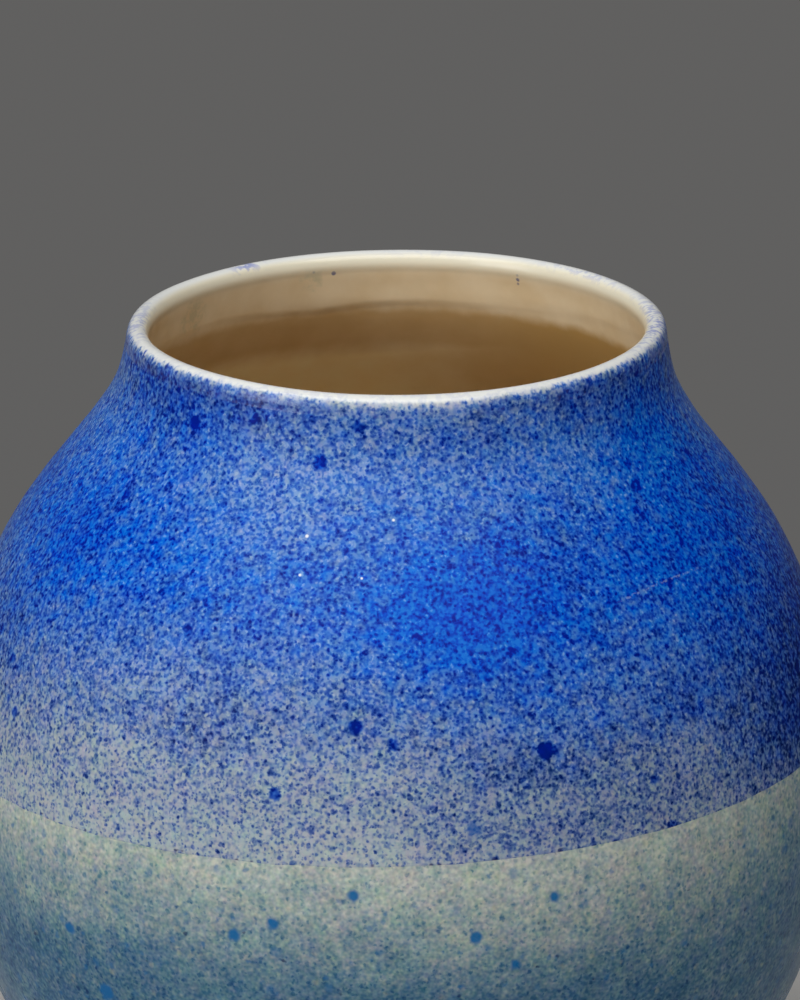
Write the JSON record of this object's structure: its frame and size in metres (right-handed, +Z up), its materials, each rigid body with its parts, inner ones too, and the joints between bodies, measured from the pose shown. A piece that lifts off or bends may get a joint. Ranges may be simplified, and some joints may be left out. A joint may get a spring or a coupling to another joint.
{
  "type": "flower vase",
  "caption": "Round-bellied stoneware flower vase with a short wide collar, a rolled lip and a turned foot ring, glazed in speckled cobalt above grey-teal.",
  "frame": {"origin": "centre of the foot ring, on the surface that the vase stands on", "axes": "+Z up along the axis that the vase was turned on, out of the mouth; +X to the right in the front view, where the masked glaze line is highest"},
  "size_m": [0.2856, 0.286, 0.29],
  "materials": {
    "stoneware": "bare fired clay, matt and slightly sandy",
    "liner_glaze": "glossy cream glaze, broken white over the lip",
    "upper_glaze": "glossy pale glaze, finely speckled with cobalt blue",
    "lower_glaze": "satin-gloss grey glaze, clouded with teal"
  },
  "bodies": {
    "root": {"clay_body": "stoneware", "liner_glaze": "liner_glaze", "upper_glaze": "upper_glaze", "lower_glaze": "lower_glaze"}
  },
  "joints": []
}
